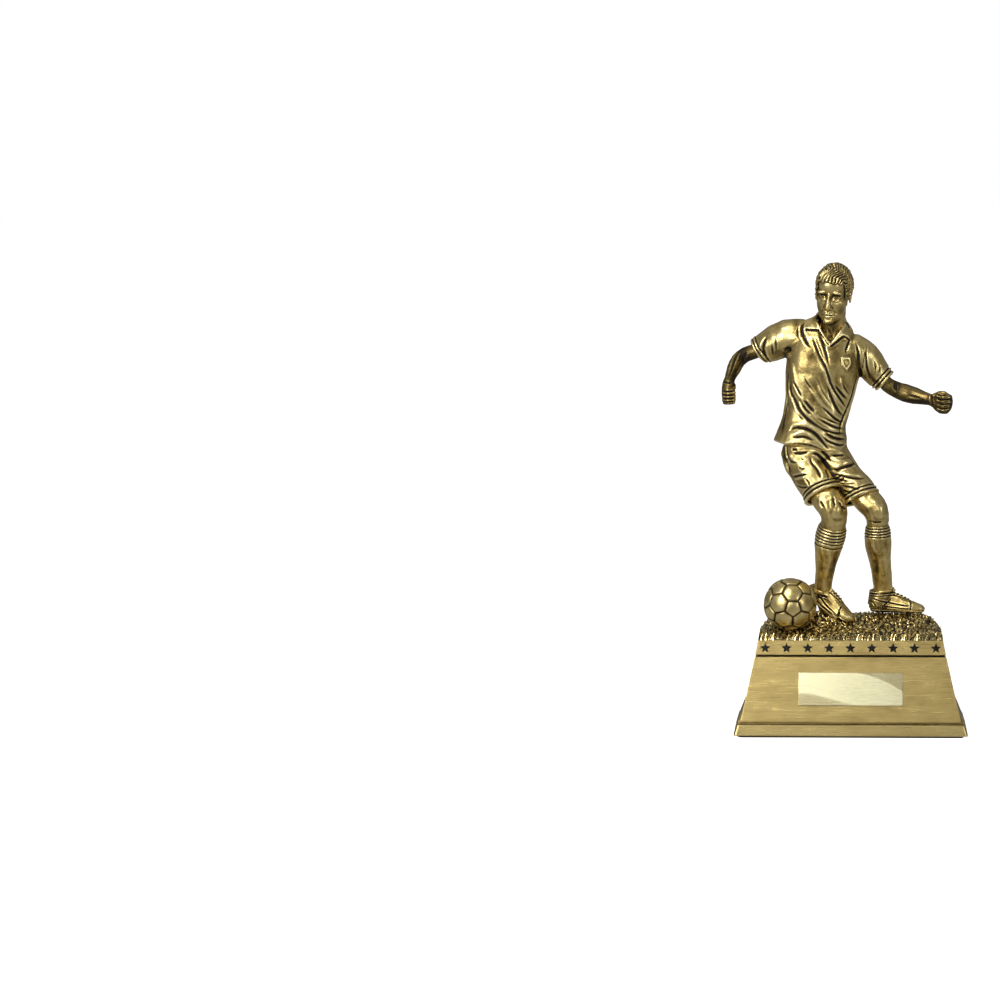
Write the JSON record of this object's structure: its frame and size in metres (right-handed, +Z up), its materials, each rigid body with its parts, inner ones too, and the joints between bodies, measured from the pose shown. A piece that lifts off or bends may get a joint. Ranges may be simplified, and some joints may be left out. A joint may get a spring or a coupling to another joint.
{
  "type": "figure trophy",
  "caption": "Antique-gold resin trophy: a running footballer with a ball on a turf mound, on a tapered hollow plinth with a star band and a blank engraving plate.",
  "frame": {"origin": "middle of the felt underside, which is the face that the trophy stands on", "axes": "+Z up, -Y to the front, where the plate is, +X to the figure's left hand"},
  "size_m": [0.1545, 0.0836, 0.2976],
  "materials": {
    "antique_gold_resin": "satin",
    "turf_gold_resin": "satin",
    "brushed_gold_resin": "satin",
    "pale_gold_plate": "polished",
    "foam_tape": "matte",
    "base_board": "matte",
    "black_felt": "matte",
    "ballast_iron": "matte",
    "steel": "satin",
    "insert_brass": "satin"
  },
  "bodies": {
    "root": {"head": "antique_gold_resin", "shirt": "antique_gold_resin", "right_arm": "antique_gold_resin", "left_arm": "antique_gold_resin", "shorts": "antique_gold_resin", "right_leg": "antique_gold_resin", "left_leg": "antique_gold_resin", "right_boot": "antique_gold_resin", "left_boot": "antique_gold_resin", "ball": "antique_gold_resin", "turf": "turf_gold_resin", "star_band": "brushed_gold_resin", "plinth_shell": "brushed_gold_resin", "plinth_foot": "brushed_gold_resin", "front_panel": "brushed_gold_resin", "plate_tape": "foam_tape", "engraving_plate": "pale_gold_plate", "base_board": "base_board", "felt_pad": "black_felt", "ballast_block": "ballast_iron", "base_screw_1": "steel", "base_screw_2": "steel", "base_screw_3": "steel", "base_screw_4": "steel", "turf_bolt_1": "steel", "turf_bolt_2": "steel", "turf_washer_1": "steel", "turf_washer_2": "steel", "threaded_insert_1": "insert_brass", "threaded_insert_2": "insert_brass", "neck_pin": "steel", "waist_pin": "steel", "right_arm_pin": "steel", "left_arm_pin": "steel", "right_hip_pin": "steel", "left_hip_pin": "steel", "right_ankle_pin": "steel", "left_ankle_pin": "steel", "right_foot_pin": "steel", "left_foot_pin": "steel", "ball_pin": "steel"}
  },
  "joints": []
}
